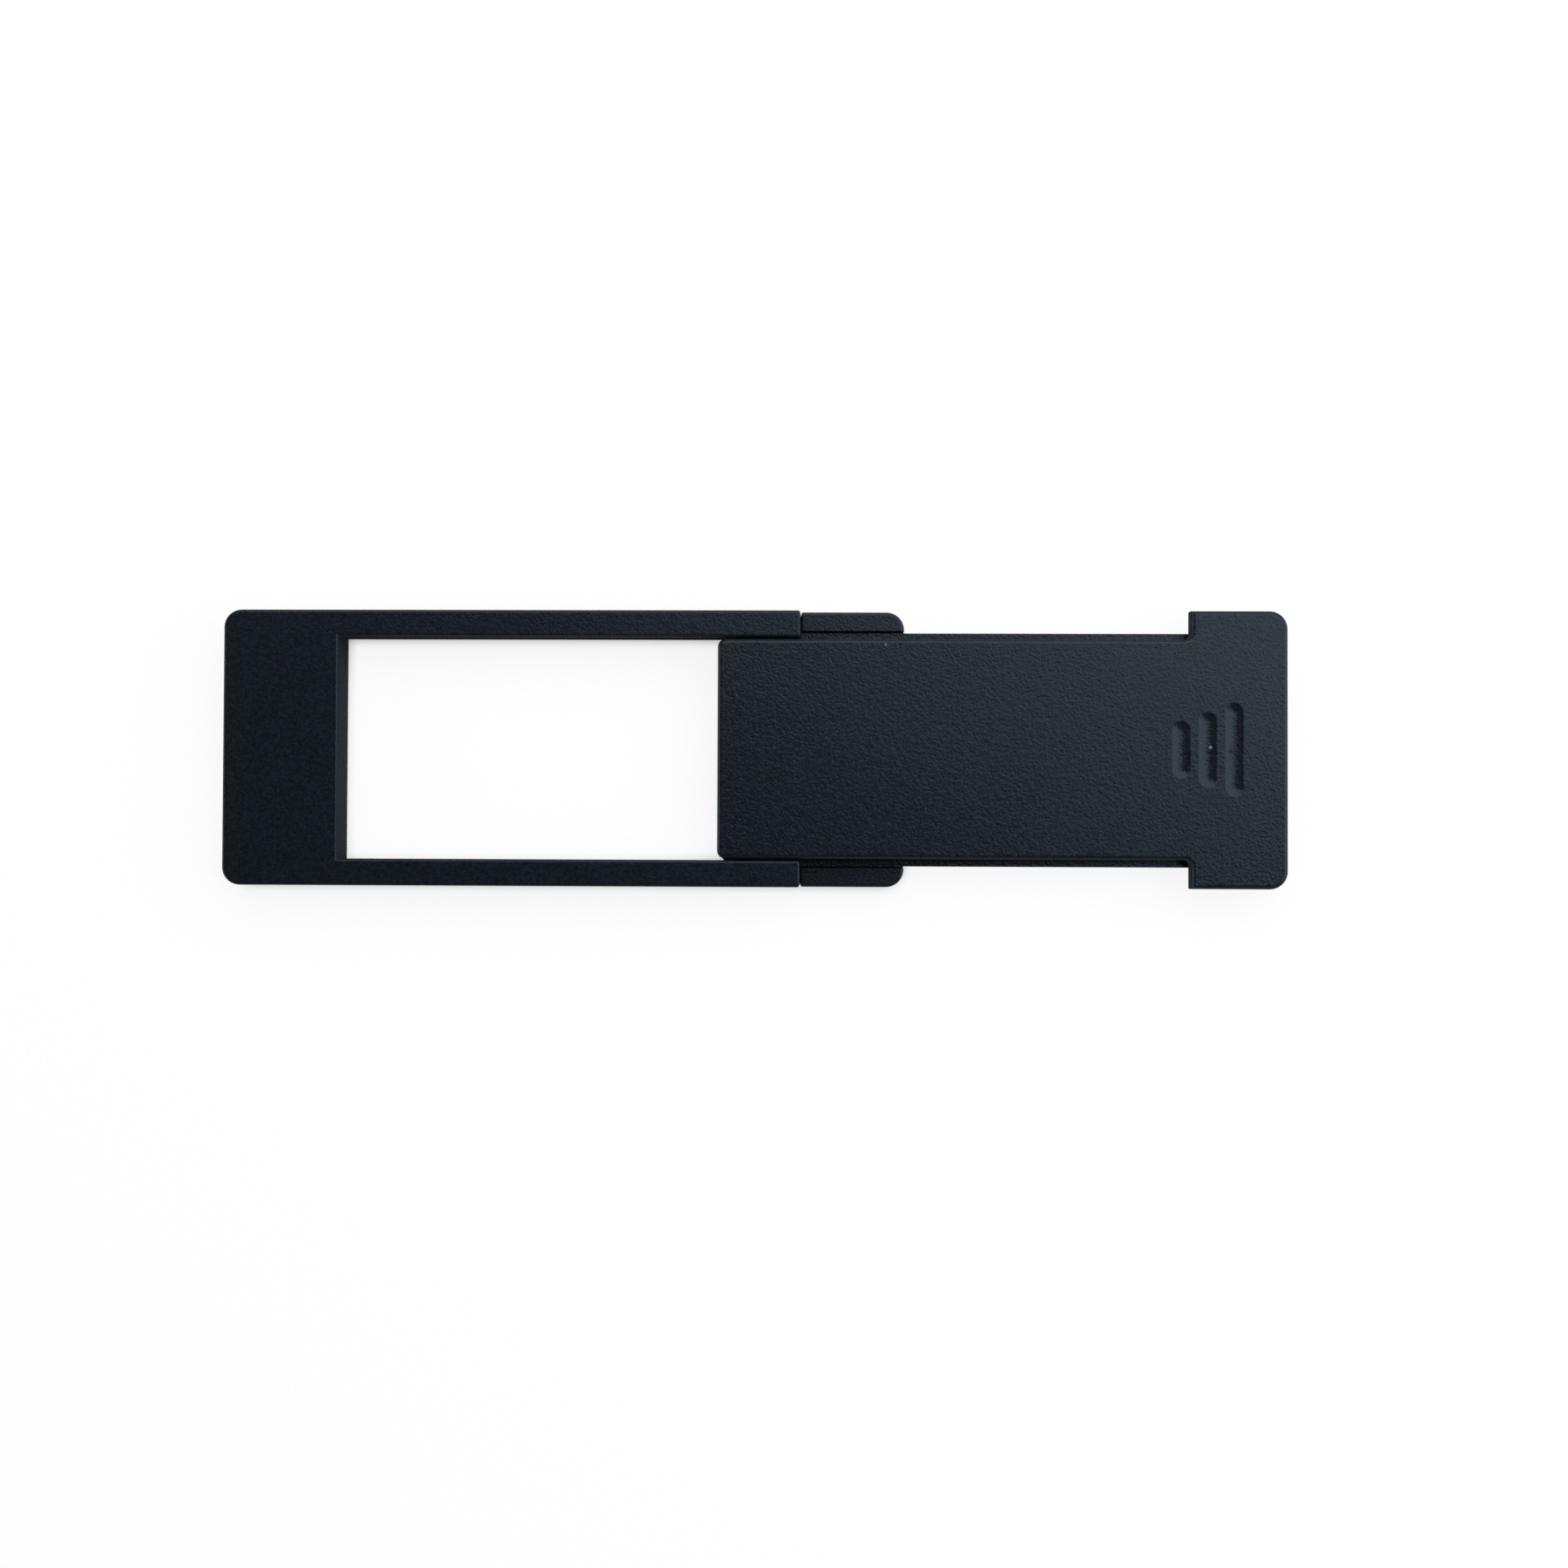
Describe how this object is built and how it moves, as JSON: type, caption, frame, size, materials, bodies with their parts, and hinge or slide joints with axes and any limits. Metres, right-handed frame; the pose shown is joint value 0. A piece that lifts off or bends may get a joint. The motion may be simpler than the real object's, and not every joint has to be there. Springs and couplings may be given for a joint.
{
  "type": "webcam cover slider",
  "caption": "Stick-on privacy cover for a built-in camera: a low black frame round a camera window, closed by a flat shutter that slides along it by a grooved thumb tab.",
  "frame": {"origin": "middle of the open cover's footprint, on the surface that it is stuck to", "axes": "+X along the slide towards the grip tab, +Y across it, +Z away from the stuck-on side"},
  "size_m": [0.0538, 0.014, 0.0024],
  "materials": {
    "black_abs": "fine spark-eroded grain, matt bluish black",
    "adhesive_tape": "milky double-sided adhesive tape"
  },
  "bodies": {
    "frame": {"base_frame": "black_abs", "guide_cover": "black_abs", "adhesive_pad_block_end": "adhesive_tape", "adhesive_pad_shoulder_end": "adhesive_tape"},
    "slider": {"slider": "black_abs"}
  },
  "joints": [
    {"name": "slider_slide", "type": "slide", "parent": "frame", "child": "slider", "axis": [-1, 0, 0], "range_m": [0, 0.01925]}
  ]
}
